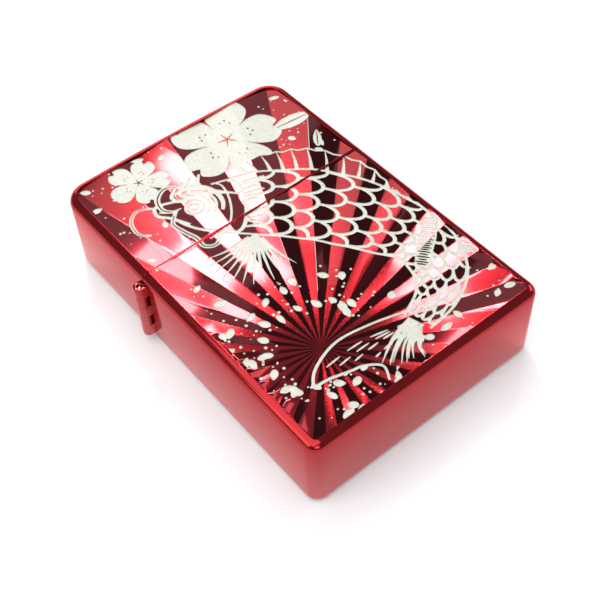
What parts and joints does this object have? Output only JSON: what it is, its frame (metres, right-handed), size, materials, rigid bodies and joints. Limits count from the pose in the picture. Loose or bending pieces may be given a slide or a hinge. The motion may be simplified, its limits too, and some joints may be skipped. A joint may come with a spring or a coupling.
{
  "type": "flip-top windproof petrol lighter",
  "caption": "Flip-top pocket lighter: hinged lid, sheet-metal case and a filled insert with wind screen, sprung cam, flint wheel, flint and wick.",
  "frame": {"origin": "middle of the flat back face, which the lighter lies on", "axes": "+X across the width away from the hinge, +Y from the base end to the lid's top, +Z out of the front face"},
  "size_m": [0.0394, 0.056, 0.0127],
  "materials": {
    "case": "translucent candy-red lacquer over polished brass sheet, engraved front",
    "lid": "translucent candy-red lacquer over polished brass sheet, engraved front",
    "hinge": "the case's red lacquer over rolled brass leaves",
    "pin": "steel pin, lacquered at its ends",
    "insert": "brushed stainless sheet",
    "screen": "pressed stainless sheet, slightly heat-tinted at the rim",
    "cam": "stamped steel",
    "rivet": "peened brass-plated steel",
    "spring": "spring steel",
    "wheel": "hardened steel, cross-cut teeth",
    "tube": "drawn brass tube",
    "flint": "pressed ferrocerium",
    "tip": "turned brass",
    "screw": "turned brass with a coin slot",
    "wick": "braided cotton with copper strands",
    "wadding": "loose rayon wadding",
    "felt": "pressed wool felt"
  },
  "bodies": {
    "case": {"lower_case": "case", "hinge_lower_leaf": "hinge", "hinge_pin": "pin", "insert_case": "insert", "wind_screen": "screen", "cam_rivet": "rivet", "cam_spring": "spring", "wheel_rivet": "rivet", "flint_tube": "tube", "flint_spring": "spring", "flint_screw": "screw", "wick": "wick", "wadding": "wadding", "felt_pad": "felt"},
    "lid": {"lid": "lid", "hinge_upper_leaf": "hinge"},
    "cam": {"cam": "cam"},
    "wheel": {"flint_wheel": "wheel"},
    "flint": {"flint": "flint", "flint_tip": "tip"}
  },
  "joints": [
    {"name": "lid_hinge", "type": "hinge", "parent": "case", "child": "lid", "pos_m": [-0.01955, 0.0072, 0.00635], "axis": [0, 0, 1], "range_deg": [0, 125]},
    {"name": "cam_pivot", "type": "hinge", "parent": "case", "child": "cam", "pos_m": [-0.01255, 0.01, 0.00635], "axis": [0, 0, 1], "range_deg": [0, 50]},
    {"name": "wheel_spin", "type": "hinge", "parent": "case", "child": "wheel", "pos_m": [0.0104, 0.0146, 0.00635], "axis": [0, 0, 1], "continuous": true},
    {"name": "flint_feed", "type": "slide", "parent": "case", "child": "flint", "axis": [0, 1, 0], "range_m": [-0.0025, 0], "stiffness_N_per_m": 300, "springref_m": 0.003, "deforming": ["flint_spring"]}
  ],
  "couplings": [
    {"joint": "cam_pivot", "follows": "lid_hinge", "ratio": 0.4}
  ]
}
